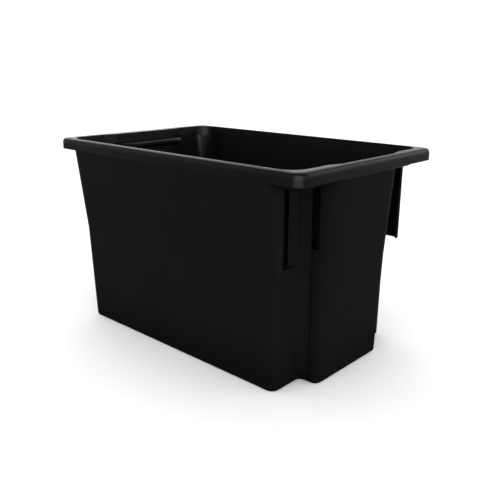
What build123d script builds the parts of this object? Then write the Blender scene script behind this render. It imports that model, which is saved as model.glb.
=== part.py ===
from build123d import *
import os
from math import cos, sin, pi, sqrt, atan2, hypot

# ---------------------------------------------------------------------------
# Nesting crate, black polypropylene. Millimetres, +Z up, floor plane at z = 0,
# +X towards the end with the two notched corners. One body, 180 degree
# stack-and-nest pattern: the +X end has notched corners and a full-width
# centre, the -X end has full corners and a notched centre.
# ---------------------------------------------------------------------------
LENGTH = 645.0          # over the rim, X
WIDTH = 413.0           # over the rim, Y
HEIGHT = 397.0          # floor plane to rim top

WALL = 3.0              # wall thickness of the moulding
FLOOR = 3.5             # floor thickness
FOOT_R = 5.5            # rounding of the outer bottom edge
Z_TRAY = 10.0           # top of the base tray
Z_KINK = 209.0          # height at which the outer skins start
Z_SKIRT = 375.0         # lower edge of the rim skirt
Z_SHELF = 378.0         # stacking shelves
SHELF_T = 13.0          # thickness of a shelf nose
NOSE = 4.0              # how far a shelf nose stands into the crate

# outer outline of the tub at z = 0, Z_KINK and Z_SKIRT
Z_TUB = (0.0, Z_KINK, Z_SKIRT)
Y_LONG = (175.65, 192.56, 195.7)    # long walls
X_STEP_R = (251.8, 251.3, 251.5)    # long wall ends at the notched +X corners
Y_BULGE = (101.0, 101.0, 101.0)     # sides of the +X centre
X_END_R = (289.5, 306.28, 308.7)    # +X end wall
X_END_L = (281.6, 281.3, 300.0)     # -X corners
X_STEP_L = (251.0, 252.0, 253.0)    # -X centre, set back
Y_STEP_L = (83.0, 83.0, 83.0)       # sides of the -X set-back
R_LONG_R = (15.0, 33.0, 34.0)
R_CAVE = (10.0, 10.0, 10.0)
R_CAVE_L = (10.0, 16.0, 32.0)
R_END_R = (14.0, 38.0, 42.0)
R_LONG_L = (19.5, 37.0, 40.0)
R_STEP_L = (12.0, 12.0, 12.0)

# rim
SKIRT_R = 20.0                                      # corner radius of the skirt
SKIRT_LEAN = ((0.0, 386.0), (0.35, 389.6), (1.15, 392.6))            # upper skirt leans in, inset / z
CROWN = ((2.4, 395.0), (5.0, 396.0), (7.6, 396.7), (10.2, HEIGHT))   # rim top, inset / z
RIM_ROUND = 4.0                                     # rounding from skirt to crown
RIM_TOP_T = 3.2                                     # rim flange thickness
RIM_IN_Y = (192.7, 194.4)                           # inner edge, skirt level / top
RIM_IN_XE = (305.7, 307.6)                          # at the centre of the +X end
RIM_IN_XL = (289.0, 291.4)                          # at the centre of the -X end
RIM_IN_XC = (297.0, 299.4)                          # at the corners
RIM_IN_R = 33.0
LIP_R = 1.4                                         # bead under the +X skirt
LIP_Y = 90.0                                        # its half length
JOG_IN, JOG_OUT = 82.0, 108.0                       # where the inner edge jogs

# outer skins ("aprons") between Z_KINK and the skirt
SKIN = 3.0
APRON_Z0 = 212.0                # thin lower edge of the skins
APRON_Y1 = 206.0                # long apron outer face at the skirt
APRON_X_R = 271.0               # free +X end of a long apron
APRON_R_R = (5.0, 24.0)         # its corner rounding, bottom / top
APRON_RET = 181.0               # free edge of the return flange, |Y|
APRON_X_L1 = 303.0              # -X end of a long apron at the skirt
APRON_R_L1 = 54.0
APRON_END_L = 128.0             # where the skin dies out on the -X corner
END_APRON_X1 = 319.6
END_APRON_R1 = 42.0
END_APRON_FREE = 283.0          # free edges of the end apron, X

# blind pockets and webs in the upper part of the +X notches
POCKET_T = 2.5                  # wall of a pocket
POCKET_A_Y = (111.5, 160.0)     # pocket in the notch wall that faces +X
POCKET_A_X = 232.0
POCKET_A_Z = (220.0, 358.0)
POCKET_B_X = (258.0, 281.0)     # pocket in the notch wall that faces the long side
POCKET_B_Y = 83.0
POCKET_B_Z = (250.0, 358.0)
WEB_T = 3.0
WEB_A = (242.0, 132.0)          # web face ends in plan, X and |Y|
WEB_B = (253.0, 108.5)

# gusset ribs under the shelves
RIB_T = 3.0
RIB_REACH = 20.0
RIB_Z0 = 216.0
GUSSET_A = (251.5, 114.0)       # upright gusset across the inner corner of a +X notch,
GUSSET_B = (267.0, 101.0)       # where its front face meets the two notch walls, X and |Y|
GUSSET_Z0 = 16.0
RIB_Y_L = 64.0                  # rib mid-plane at the -X set-back

# split planes between the named regions of the moulding
CUT_X_R = 226.0
CUT_X_L = 240.0
CUT_Y_R = 64.0
CUT_Y_L = 45.0
RIM_CUT_X = 262.0
RIM_CUT_Y = 146.0


def outline(points, radii, z):
    """Closed rounded polygon at height z (counter-clockwise points)."""
    n = len(points)
    tan_in, tan_out, mids = [], [], []
    for i in range(n):
        p0 = points[i - 1]
        p1 = points[i]
        p2 = points[(i + 1) % n]
        a = (p0[0] - p1[0], p0[1] - p1[1])
        b = (p2[0] - p1[0], p2[1] - p1[1])
        la, lb = hypot(*a), hypot(*b)
        ua = (a[0] / la, a[1] / la)
        ub = (b[0] / lb, b[1] / lb)
        dot = ua[0] * ub[0] + ua[1] * ub[1]
        half = 0.5 * atan2(sqrt(max(0.0, 1 - dot * dot)), dot)
        r = radii[i]
        t = r * cos(half) / sin(half)
        tan_in.append((p1[0] + ua[0] * t, p1[1] + ua[1] * t))
        tan_out.append((p1[0] + ub[0] * t, p1[1] + ub[1] * t))
        bis = (ua[0] + ub[0], ua[1] + ub[1])
        lbis = hypot(*bis)
        d = r / sin(half) - r
        mids.append((p1[0] + bis[0] / lbis * d, p1[1] + bis[1] / lbis * d))
    edges = []
    for i in range(n):
        edges.append(ThreePointArc((*tan_in[i], z), (*mids[i], z), (*tan_out[i], z)))
        j = (i + 1) % n
        edges.append(Line((*tan_out[i], z), (*tan_in[j], z)))
    return Face(Wire(edges))


def at_z(table, z):
    """Linear interpolation (and extrapolation) of a three-row table."""
    z0, z1, z2 = Z_TUB
    if z <= z1:
        return table[0] + (table[1] - table[0]) * (z - z0) / (z1 - z0)
    return table[1] + (table[2] - table[1]) * (z - z1) / (z2 - z1)


def tub_face(z, inset=0.0):
    """Tub outline at height z, moved inwards by inset."""
    yl = at_z(Y_LONG, z) - inset
    xr = at_z(X_STEP_R, z) - inset
    yb = at_z(Y_BULGE, z) - inset
    xe = at_z(X_END_R, z) - inset
    xo = at_z(X_END_L, z) - inset
    xc = at_z(X_STEP_L, z) - inset
    yc = at_z(Y_STEP_L, z) + inset
    r_lr = at_z(R_LONG_R, z) - inset
    r_c = at_z(R_CAVE, z) + inset
    r_cl = at_z(R_CAVE_L, z) + inset
    r_er = at_z(R_END_R, z) - inset
    r_ll = at_z(R_LONG_L, z) - inset
    r_sl = at_z(R_STEP_L, z) - inset
    pts = [(-xo, -yl), (xr, -yl), (xr, -yb), (xe, -yb), (xe, yb), (xr, yb),
           (xr, yl), (-xo, yl), (-xo, yc), (-xc, yc), (-xc, -yc), (-xo, -yc)]
    rad = [r_ll, r_lr, r_c, r_er, r_er, r_c, r_lr, r_ll, r_sl, r_cl, r_cl, r_sl]
    return outline(pts, rad, z)


def rim_inner_face(z, grow=0.0):
    """Inner edge of the rim at height z, moved outwards by grow."""
    f = (z - Z_SKIRT) / (HEIGHT - Z_SKIRT)
    y = RIM_IN_Y[0] + (RIM_IN_Y[1] - RIM_IN_Y[0]) * f + grow
    xe = RIM_IN_XE[0] + (RIM_IN_XE[1] - RIM_IN_XE[0]) * f + grow
    xc = RIM_IN_XC[0] + (RIM_IN_XC[1] - RIM_IN_XC[0]) * f + grow
    xl = RIM_IN_XL[0] + (RIM_IN_XL[1] - RIM_IN_XL[0]) * f + grow
    r = RIM_IN_R + grow
    pts = [(-xc, -y), (xc, -y), (xc, -JOG_OUT), (xe, -JOG_IN), (xe, JOG_IN), (xc, JOG_OUT),
           (xc, y), (-xc, y), (-xc, JOG_OUT), (-xl, JOG_IN), (-xl, -JOG_IN), (-xc, -JOG_OUT)]
    rad = [r, r, 24, 30, 30, 24, r, r, 24, 30, 30, 24]
    return outline(pts, rad, z)


def rect_face(x, y, r, z):
    return outline([(-x, -y), (x, -y), (x, y), (-x, y)], [r] * 4, z)


def block(x0, x1, y0, y1, z0, z1):
    return Pos((x0 + x1) / 2, (y0 + y1) / 2, (z0 + z1) / 2) * Box(x1 - x0, y1 - y0, z1 - z0)


def ruled(*faces):
    return loft(list(faces), ruled=True)


def biggest(shape):
    return sorted(shape.solids(), key=lambda s: s.volume)[-1]


# --- tub: floor, long walls, end walls and corner posts ----------------------
tub_outer = ruled(tub_face(0), tub_face(Z_KINK), tub_face(Z_SKIRT))
tub_outer = fillet(tub_outer.faces().sort_by(Axis.Z)[0].edges(), FOOT_R)
tub_void = ruled(tub_face(FLOOR, WALL), tub_face(Z_KINK, WALL), tub_face(Z_SKIRT + 0.0, WALL))
tub_void = fillet(tub_void.faces().sort_by(Axis.Z)[0].edges(), FOOT_R - WALL)
tub = tub_outer - tub_void

pieces = {}
FAR = 400.0
pieces["base_tray"] = tub & block(-FAR, FAR, -FAR, FAR, -1, Z_TRAY)
upper = tub & block(-FAR, FAR, -FAR, FAR, Z_TRAY, Z_SKIRT)
pieces["front_wall"] = upper & block(-CUT_X_L, CUT_X_R, -FAR, -130, 0, FAR)
pieces["back_wall"] = upper & block(-CUT_X_L, CUT_X_R, 130, FAR, 0, FAR)
pieces["right_end_wall"] = upper & block(CUT_X_R, FAR, -CUT_Y_R, CUT_Y_R, 0, FAR)
pieces["left_end_wall"] = upper & block(-FAR, -CUT_X_L, -CUT_Y_L, CUT_Y_L, 0, FAR)
pieces["front_right_corner_post"] = upper & block(CUT_X_R, FAR, -FAR, -CUT_Y_R, 0, FAR)
pieces["back_right_corner_post"] = upper & block(CUT_X_R, FAR, CUT_Y_R, FAR, 0, FAR)
pieces["front_left_corner_post"] = upper & block(-FAR, -CUT_X_L, -FAR, -CUT_Y_L, 0, FAR)
pieces["back_left_corner_post"] = upper & block(-FAR, -CUT_X_L, CUT_Y_L, FAR, 0, FAR)

# --- rim: skirt, flange and inner drop wall, an inverted channel -------------
half_x, half_y = LENGTH / 2, WIDTH / 2


def ring(inset, z):
    return rect_face(half_x - inset, half_y - inset, SKIRT_R - inset, z)


def ring_edges(shape, z):
    return [e for e in shape.edges() if abs((e @ 0).Z - z) < 0.01 and abs((e @ 1).Z - z) < 0.01]


skirt = ruled(ring(0, Z_SKIRT), *[ring(i, z) for i, z in SKIRT_LEAN + CROWN])
skirt = fillet(ring_edges(skirt, CROWN[0][1]), RIM_ROUND)
channel = ruled(ring(WALL, Z_SKIRT), ring(WALL + 0.6, 390.0), ring(WALL + 3.5, HEIGHT - RIM_TOP_T - 0.5))
drop = ruled(rim_inner_face(Z_SKIRT, WALL), rim_inner_face(HEIGHT, WALL))
mouth = ruled(rim_inner_face(Z_SKIRT), rim_inner_face(HEIGHT))
rim = skirt - (channel - drop) - mouth
inner_top = [e for e in rim.edges() if e.center().Z > HEIGHT - 0.01
             and abs(e.center().X) < 309 and abs(e.center().Y) < 195.5]
rim = fillet(inner_top, 1.2)

pieces["front_rim_rail"] = rim & block(-RIM_CUT_X, RIM_CUT_X, -FAR, 0, 0, FAR)
pieces["back_rim_rail"] = rim & block(-RIM_CUT_X, RIM_CUT_X, 0, FAR, 0, FAR)
pieces["right_rim_rail"] = rim & block(RIM_CUT_X, FAR, -RIM_CUT_Y, RIM_CUT_Y, 0, FAR)
lip = Pos(half_x - LIP_R, 0, Z_SKIRT - 0.2) * (Rot(90, 0, 0) * Cylinder(LIP_R, 2 * LIP_Y))
for side in (-1, 1):
    lip = lip + Pos(half_x - LIP_R, side * LIP_Y, Z_SKIRT - 0.2) * Sphere(LIP_R)
pieces["right_rim_rail"] = pieces["right_rim_rail"] + lip
pieces["left_rim_rail"] = rim & block(-FAR, -RIM_CUT_X, -RIM_CUT_Y, RIM_CUT_Y, 0, FAR)
pieces["front_right_rim_corner"] = rim & block(RIM_CUT_X, FAR, -FAR, -RIM_CUT_Y, 0, FAR)
pieces["back_right_rim_corner"] = rim & block(RIM_CUT_X, FAR, RIM_CUT_Y, FAR, 0, FAR)
pieces["front_left_rim_corner"] = rim & block(-FAR, -RIM_CUT_X, -FAR, -RIM_CUT_Y, 0, FAR)
pieces["back_left_rim_corner"] = rim & block(-FAR, -RIM_CUT_X, RIM_CUT_Y, FAR, 0, FAR)

# --- stacking shelves over the notches --------------------------------------
Z_UNDER = Z_SHELF - SHELF_T
xr_s = at_z(X_STEP_R, Z_SKIRT) - WALL - NOSE
yb_s = at_z(Y_BULGE, Z_SKIRT) - WALL - NOSE
xe_s = at_z(X_END_R, Z_SKIRT) - WALL + 0.8
xc_s = at_z(X_STEP_L, Z_SKIRT) - WALL - NOSE
yc_s = at_z(Y_STEP_L, Z_SKIRT) + WALL + NOSE
y_s = RIM_IN_Y[0] + 1.0
clear = outline([(-330, -y_s), (xr_s, -y_s), (xr_s, -yb_s), (xe_s, -yb_s), (xe_s, yb_s), (xr_s, yb_s),
                 (xr_s, y_s), (-330, y_s), (-330, yc_s), (-xc_s, yc_s), (-xc_s, -yc_s), (-330, -yc_s)],
                [10, 19, 16, 30, 30, 16, 19, 10, 10, 36, 36, 10], Z_UNDER)
plan = ruled(rim_inner_face(Z_UNDER), rim_inner_face(Z_SHELF))
shelves = plan - extrude(clear, SHELF_T)
front_wire = clear.outer_wire()
nose_edges = []
for e in shelves.edges():
    c = e @ 0.5
    if abs(c.Z - Z_UNDER) < 0.01 or abs(c.Z - Z_SHELF) < 0.01:
        if front_wire.distance_to(Vertex(c.X, c.Y, Z_UNDER)) < 0.05:
            nose_edges.append(e)
shelves = fillet(nose_edges, SHELF_T / 2 - 0.2)
shelves = shelves - tub


def shelf_at(x, y):
    return sorted(shelves.solids(), key=lambda s: hypot(s.center().X - x, s.center().Y - y))[0]


pieces["left_end_shelf"] = shelf_at(-280, 0)
pieces["front_right_corner_shelf"] = shelf_at(280, -150)
pieces["back_right_corner_shelf"] = shelf_at(280, 150)

# --- outer skins -------------------------------------------------------------
y0 = Y_LONG[1]
xl0 = X_END_L[1]


def long_skin(inset):
    """Volume bounded by the front skin, moved inwards by inset."""
    lo = outline([(-xl0 + inset, -y0 + inset), (APRON_X_R - inset, -y0 + inset),
                  (APRON_X_R - inset, -60.0), (-xl0 + inset, -60.0)],
                 [R_LONG_L[1] - inset, max(APRON_R_R[0] - inset, 1.5), 1, 1], Z_KINK)
    hi = outline([(-APRON_X_L1 + inset, -APRON_Y1 + inset), (APRON_X_R - inset, -APRON_Y1 + inset),
                  (APRON_X_R - inset, -60.0), (-APRON_X_L1 + inset, -60.0)],
                 [APRON_R_L1 - inset, APRON_R_R[1] - inset, 1, 1], Z_SKIRT)
    return ruled(lo, hi)


keep = (block(-230, FAR, -FAR, -APRON_RET, APRON_Z0, FAR)
        + block(-FAR, -230, -FAR, -APRON_END_L, APRON_Z0, FAR))
front_apron = (long_skin(0) - long_skin(SKIN)) & keep
front_apron = front_apron - tub_outer - shelves
print("front_apron", [round(s.volume) for s in front_apron.solids()])
pieces["front_apron"] = biggest(front_apron)
pieces["back_apron"] = mirror(pieces["front_apron"], Plane.XZ)


def end_skin(inset):
    """Volume bounded by the +X end skin, moved inwards by inset."""
    yb = Y_BULGE[1] - inset
    lo = outline([(255, -yb), (X_END_R[1] - inset, -yb), (X_END_R[1] - inset, yb), (255, yb)],
                 [1, R_END_R[1] - inset, R_END_R[1] - inset, 1], Z_KINK)
    hi = outline([(255, -yb), (END_APRON_X1 - inset, -yb), (END_APRON_X1 - inset, yb), (255, yb)],
                 [1, END_APRON_R1 - inset, END_APRON_R1 - inset, 1], Z_SKIRT)
    return ruled(lo, hi)


right_apron = (end_skin(0) - end_skin(SKIN)) & block(END_APRON_FREE, FAR, -FAR, FAR, APRON_Z0, FAR)
right_apron = right_apron - tub_outer - shelves
print("right_apron", [round(s.volume) for s in right_apron.solids()])
pieces["right_end_apron"] = biggest(right_apron)

# --- gusset ribs under the shelves -------------------------------------------
def rib(y, side):
    """Upright gusset plate on a set-back wall; side = +1 or -1 along X."""
    pts = [(236.0, RIB_Z0), (252.5 + 6.0, RIB_Z0), (252.5 + RIB_REACH, RIB_Z0 + 22.0),
           (252.5 + RIB_REACH, Z_UNDER), (236.0, Z_UNDER)]
    prof = make_face(Polyline(*[(side * a, 0, b) for a, b in pts], close=True))
    plate = extrude(prof, RIB_T / 2, dir=(0, 1, 0), both=True)
    plate = Pos(0, y, 0) * plate
    return plate - tub_outer - shelves


def gusset(side):
    """Slanted upright plate across the inner corner of a +X notch; side = -1 front, +1 back."""
    (ax, ay), (bx, by) = GUSSET_A, GUSSET_B
    d = hypot(bx - ax, by - ay)
    ux, uy = (bx - ax) / d, (by - ay) / d
    ax, ay, bx, by = ax - 4 * ux, ay - 4 * uy, bx + 4 * ux, by + 4 * uy
    nx, ny = uy * RIB_T, -ux * RIB_T
    plan_pts = [(ax, side * ay), (bx, side * by), (bx + nx, side * (by + ny)), (ax + nx, side * (ay + ny))]
    face = make_face(Polyline(*[(x, y, GUSSET_Z0) for x, y in plan_pts], close=True))
    plate = extrude(face, Z_UNDER - GUSSET_Z0, dir=(0, 0, 1))
    return biggest(plate - tub_outer - shelves)


def web(side):
    """Slanted upright plate in the upper part of a +X notch; side = -1 front, +1 back."""
    ax, ay, bx, by = *WEB_A, *WEB_B
    d = hypot(bx - ax, by - ay)
    nx, ny = (by - ay) / d * WEB_T, -(bx - ax) / d * WEB_T
    plan_pts = [(ax, side * ay), (bx, side * by), (bx + nx, side * (by + ny)), (ax + nx, side * (ay + ny))]
    face = make_face(Polyline(*[(x, y, POCKET_A_Z[0]) for x, y in plan_pts], close=True))
    return extrude(face, POCKET_A_Z[1] - POCKET_A_Z[0], dir=(0, 0, 1))


def side_block(side, x0, x1, y0, y1, z0, z1):
    ya, yb = sorted((side * y0, side * y1))
    return block(x0, x1, ya, yb, z0, z1)


for side, where in ((-1, "front"), (1, "back")):
    post = pieces[f"{where}_right_corner_post"]
    t = POCKET_T
    (ya, yb), (za, zb) = POCKET_A_Y, POCKET_A_Z
    shell = side_block(side, POCKET_A_X - t, 249.5, ya - t, yb + t, za - t, zb + t)
    hole = side_block(side, POCKET_A_X, 262, ya, yb, za, zb)
    post = (post + shell) - hole
    (xa, xb), (za, zb) = POCKET_B_X, POCKET_B_Z
    shell = side_block(side, xa - t, xb + t, POCKET_B_Y - t, Y_BULGE[1] - 2, za - t, zb + t)
    hole = side_block(side, xa, xb, POCKET_B_Y, Y_BULGE[1] + 8, za, zb)
    post = (post + shell) - hole
    pieces[f"{where}_right_corner_post"] = post

pieces["front_right_shelf_rib"] = gusset(-1)
pieces["back_right_shelf_rib"] = gusset(1)
pieces["left_shelf_rib_front"] = rib(-RIB_Y_L, -1)
pieces["left_shelf_rib_back"] = rib(RIB_Y_L, -1)

for side, where in ((-1, "front"), (1, "back")):
    plate = web(side) - pieces[f"{where}_right_corner_post"] - pieces[f"{where}_right_shelf_rib"]
    pieces[f"{where}_right_notch_web"] = biggest(plate)

# --- one file per named piece ------------------------------------------------
os.makedirs("parts", exist_ok=True)
for name, shape in pieces.items():
    found = shape.solids()
    print(name, len(found), [round(s.volume) for s in found])
    solid = sorted(found, key=lambda s: s.volume)[-1]
    solid.label = name
    export_step(solid, f"parts/{name}.step")
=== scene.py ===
import math
import bpy
from mathutils import Matrix, Vector

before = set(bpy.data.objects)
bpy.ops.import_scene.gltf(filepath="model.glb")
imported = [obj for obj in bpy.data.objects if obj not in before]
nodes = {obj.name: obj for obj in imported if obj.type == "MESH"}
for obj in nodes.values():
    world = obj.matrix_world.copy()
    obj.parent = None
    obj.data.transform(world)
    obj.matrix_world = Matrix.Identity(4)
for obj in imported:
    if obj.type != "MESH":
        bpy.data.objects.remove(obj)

scene = bpy.context.scene
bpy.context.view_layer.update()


# ---------------------------------------------------------------- materials
def new_mat(name):
    m = bpy.data.materials.new(name)
    m.use_nodes = True
    t = m.node_tree
    for n in list(t.nodes):
        t.nodes.remove(n)
    out = t.nodes.new("ShaderNodeOutputMaterial")
    bsdf = t.nodes.new("ShaderNodeBsdfPrincipled")
    t.links.new(bsdf.outputs["BSDF"], out.inputs["Surface"])
    return m, t, bsdf


def noise(t, coord, scale, detail=3.0, rough=0.5, dist=0.0):
    n = t.nodes.new("ShaderNodeTexNoise")
    n.inputs["Scale"].default_value = scale
    n.inputs["Detail"].default_value = detail
    n.inputs["Roughness"].default_value = rough
    n.inputs["Distortion"].default_value = dist
    t.links.new(coord, n.inputs["Vector"])
    return n


def ramp(t, fac, stops):
    r = t.nodes.new("ShaderNodeValToRGB")
    e = r.color_ramp.elements
    while len(e) < len(stops):
        e.new(0.5)
    for el, (p, c) in zip(e, stops):
        el.position = p
        el.color = (c, c, c, 1) if isinstance(c, float) else (*c, 1)
    t.links.new(fac, r.inputs["Fac"])
    return r


def mrange(t, val, a, b, c, d):
    n = t.nodes.new("ShaderNodeMapRange")
    for k, v in zip(("From Min", "From Max", "To Min", "To Max"), (a, b, c, d)):
        n.inputs[k].default_value = v
    t.links.new(val, n.inputs["Value"])
    return n


def crate_plastic(name, level, ro_lo, ro_hi, base, inside=None):
    """Black polypropylene with a fine spark-eroded grain; inside = the side that is polished."""
    m, t, b = new_mat(name)
    tc = t.nodes.new("ShaderNodeTexCoord")
    co = tc.outputs["Object"]
    b.inputs["Specular IOR Level"].default_value = level
    b.inputs["IOR"].default_value = 1.5
    # colour: near black, with a faint cloudiness from the mix of regrind
    cloud = noise(t, co, 9.0, 4.0, 0.55)
    col = ramp(t, cloud.outputs["Fac"], [(0.30, (base * 0.95, base * 0.95, base * 1.0)), (0.70, (base * 1.05, base * 1.05, base * 1.1))])
    # painted shade: the base colour darkens towards the bottom, standing in for the occlusion where the crate
    # meets the floor
    xyz = t.nodes.new("ShaderNodeSeparateXYZ")
    t.links.new(co, xyz.inputs["Vector"])
    painted_foot_shade = mrange(t, xyz.outputs["Z"], 0.0, 0.10, 0.62, 1.0)
    dim = t.nodes.new("ShaderNodeVectorMath")
    dim.operation = "SCALE"
    t.links.new(col.outputs["Color"], dim.inputs[0])
    shade, rough = painted_foot_shade.outputs["Result"], None
    if inside:
        turn = t.nodes.new("ShaderNodeVectorMath")
        turn.operation = "DOT_PRODUCT"
        turn.inputs[1].default_value = inside
        t.links.new(tc.outputs["Normal"], turn.inputs[0])
        cut = t.nodes.new("ShaderNodeMath")
        cut.operation = "MULTIPLY"
        t.links.new(shade, cut.inputs[0])
        t.links.new(mrange(t, turn.outputs["Value"], 0.0, 0.2, 0.75, 1.0).outputs["Result"], cut.inputs[1])
        shade = cut.outputs["Value"]
        rough = mrange(t, turn.outputs["Value"], 0.0, 0.2, 0.7, 0.0).outputs["Result"]
    t.links.new(shade, dim.inputs["Scale"])
    t.links.new(dim.outputs["Vector"], b.inputs["Base Color"])
    # roughness: satin, slightly uneven
    patch = noise(t, co, 26.0, 5.0, 0.6)
    ro = mrange(t, patch.outputs["Fac"], 0.3, 0.7, ro_lo, ro_hi)
    if rough:
        add = t.nodes.new("ShaderNodeMath")
        t.links.new(ro.outputs["Result"], add.inputs[0])
        t.links.new(rough, add.inputs[1])
        t.links.new(add.outputs["Value"], b.inputs["Roughness"])
    else:
        t.links.new(ro.outputs["Result"], b.inputs["Roughness"])
    # grain
    grain = noise(t, co, 1400.0, 2.0, 0.5)
    bump = t.nodes.new("ShaderNodeBump")
    bump.inputs["Strength"].default_value = 0.10
    bump.inputs["Distance"].default_value = 0.0004
    t.links.new(grain.outputs["Fac"], bump.inputs["Height"])
    t.links.new(bump.outputs["Normal"], b.inputs["Normal"])
    return m


wall_plastic = crate_plastic("black_plastic_walls", 0.002, 0.46, 0.54, 0.0040)
rim_plastic = crate_plastic("black_plastic_rim", 0.027, 0.35, 0.41, 0.0003)
# this corner of the mould core is the most polished
core_plastic = crate_plastic("black_plastic_core", 0.060, 0.18, 0.24, 0.0026, (0.707, -0.707, 0.0))
# painted light: the ribs get a slightly lighter base than the walls so they read lit where they stand in the
# shade of the notches; they are also rougher
rib_plastic_painted_lit = crate_plastic("black_plastic_ribs", 0.002, 0.50, 0.58, 0.0042)
for name, o in nodes.items():
    o.data.materials.clear()
    if name == "back_left_corner_post":
        o.data.materials.append(core_plastic)
    elif "rib" in name:
        o.data.materials.append(rib_plastic_painted_lit)
    elif "rim" in name or "shelf" in name:
        o.data.materials.append(rim_plastic)
    else:
        o.data.materials.append(wall_plastic)

# ---------------------------------------------------------------- floor
import bmesh
bm = bmesh.new()
bmesh.ops.create_grid(bm, x_segments=1, y_segments=1, size=30.0)
me = bpy.data.meshes.new("studio_floor")
bm.to_mesh(me)
bm.free()
floor = bpy.data.objects.new("studio_floor", me)
scene.collection.objects.link(floor)
fm, ft, fb = new_mat("pale_floor")
fb.inputs["Base Color"].default_value = (0.72, 0.72, 0.72, 1)
fb.inputs["Roughness"].default_value = 0.9
fb.inputs["Specular IOR Level"].default_value = 0.0
floor.data.materials.append(fm)

# ---------------------------------------------------------------- light
world = bpy.data.worlds.new("studio")
scene.world = world
world.use_nodes = True
bg = world.node_tree.nodes["Background"]
bg.inputs["Strength"].default_value = 1.0
wt = world.node_tree
sky = wt.nodes.new("ShaderNodeTexCoord").outputs["Generated"]
sep = wt.nodes.new("ShaderNodeSeparateXYZ")
wt.links.new(sky, sep.inputs["Vector"])
# bright overhead box all round, an even grey-white cyclorama round the back,
# and two bright bands on the camera's side (stops are the sine of the elevation)
back = ramp(wt, sep.outputs["Z"], [(0.0, 2.8), (0.20, 2.8), (0.30, 0.98), (0.75, 1.05), (0.90, 2.0), (1.0, 2.0)])
left = ramp(wt, sep.outputs["Z"], [(0.0, 5.0), (0.20, 5.0), (0.30, 2.4), (0.75, 1.0), (0.90, 2.0), (1.0, 2.0)])
rear = ramp(wt, sep.outputs["Z"], [(0.0, 2.5), (0.20, 2.5), (0.30, 2.2), (0.70, 2.2), (0.80, 1.2), (0.90, 2.0), (1.0, 2.0)])
fore = ramp(wt, sep.outputs["Z"], [(0.0, 1.05), (0.08, 1.05), (0.14, 2.4), (0.38, 2.4), (0.46, 0.8), (0.75, 1.2), (0.90, 2.0), (1.0, 2.0)])
near = ramp(wt, sep.outputs["Z"], [(0.0, 5.0), (0.14, 5.0), (0.22, 1.0), (0.40, 1.0), (0.48, 3.5), (0.62, 3.5),
                                   (0.70, 1.2), (0.90, 2.0), (1.0, 2.0)])


def towards(direction, lo, hi):
    """0 to 1 as the sky direction turns towards the given one."""
    n = wt.nodes.new("ShaderNodeVectorMath")
    n.operation = "DOT_PRODUCT"
    n.inputs[1].default_value = direction
    wt.links.new(sky, n.inputs[0])
    return mrange(wt, n.outputs["Value"], lo, hi, 0.0, 1.0).outputs["Result"]


def blend(fac, a, b):
    n = wt.nodes.new("ShaderNodeMix")
    n.data_type = "RGBA"
    wt.links.new(fac, n.inputs["Factor"])
    wt.links.new(a, n.inputs[6])
    wt.links.new(b, n.inputs[7])
    return n.outputs[2]


col = blend(towards((-0.67, 0.74, 0.0), 0.10, 0.55), fore.outputs["Color"], back.outputs["Color"])
col = blend(towards((-0.85, 0.53, 0.0), 0.70, 0.78), col, rear.outputs["Color"])
col = blend(towards((-0.94, 0.34, 0.0), 0.80, 0.93), col, left.outputs["Color"])
col = blend(towards((0.67, -0.74, 0.0), 0.35, 0.70), col, near.outputs["Color"])
wt.links.new(col, bg.inputs["Color"])


def softbox(name, loc, target, size, power, size_y=None):
    d = bpy.data.lights.new(name, "AREA")
    d.energy = power
    d.size = size
    if size_y:
        d.shape = "RECTANGLE"
        d.size_y = size_y
    o = bpy.data.objects.new(name, d)
    scene.collection.objects.link(o)
    o.location = loc
    o.rotation_mode = "QUATERNION"
    o.rotation_quaternion = (Vector(target) - Vector(loc)).to_track_quat("-Z", "Y")
    return o


def flagged(name, lit):
    """Collection of the only pieces that a flagged box lights."""
    c = bpy.data.collections.new(name)
    for o in lit:
        c.objects.link(o)
    return c


# the side box is flagged off the floor, the fill also off the rim, the others light only the rim
side = softbox("right", (2.3, 0.1, 0.95), (-0.29, 0.0, 0.38), 1.4, 30, 0.72)
side.light_linking.receiver_collection = flagged("crate_only", nodes.values())
fill = softbox("left", (-0.75, -0.95, 0.45), (-0.25, -0.20, 0.28), 0.5, 4.5, 0.4)
fill.light_linking.receiver_collection = flagged("walls_only", [o for n, o in nodes.items() if "rim" not in n])
rim_only = flagged("rim_only", [o for n, o in nodes.items() if "rim" in n])
for box in (softbox("low", (1.10, -1.31, 0.22), (0.32, -0.21, 0.22), 2.20, 58, 0.44),
            softbox("mid", (1.10, -1.31, 0.75), (0.32, -0.21, 0.75), 2.20, 146, 0.50),
            softbox("front", (-0.90, -1.25, 1.10), (0.1, -0.21, 0.39), 1.10, 10, 1.20),
            softbox("rear", (-1.50, 0.85, 1.65), (0.0, -0.21, 0.39), 1.70, 15, 1.20),
            softbox("end", (1.05, 1.15, 0.95), (0.32, 0.0, 0.39), 1.20, 17, 0.60)):
    box.light_linking.receiver_collection = rim_only

# ---------------------------------------------------------------- camera
yaw, pitch, roll = math.radians(42.116), math.radians(16.851), math.radians(0.416)
f = Vector((-math.sin(yaw) * math.cos(pitch), math.cos(yaw) * math.cos(pitch), -math.sin(pitch)))
r = Vector((math.cos(yaw), math.sin(yaw), 0))
u = r.cross(f)
r2 = math.cos(roll) * r + math.sin(roll) * u
u2 = -math.sin(roll) * r + math.cos(roll) * u
cd = bpy.data.cameras.new("camera")
cd.sensor_width = 36.0
cd.sensor_fit = "HORIZONTAL"
cd.lens = 617.38 / 500.0 * 36.0
cam = bpy.data.objects.new("camera", cd)
scene.collection.objects.link(cam)
cam.matrix_world = Matrix(((r2.x, u2.x, -f.x, 0.859740),
                           (r2.y, u2.y, -f.y, -0.910114),
                           (r2.z, u2.z, -f.z, 0.549818),
                           (0, 0, 0, 1)))
cd.clip_start, cd.clip_end = 0.01, 100.0
scene.camera = cam
scene.view_settings.view_transform = "Standard"
scene.view_settings.look = "None"
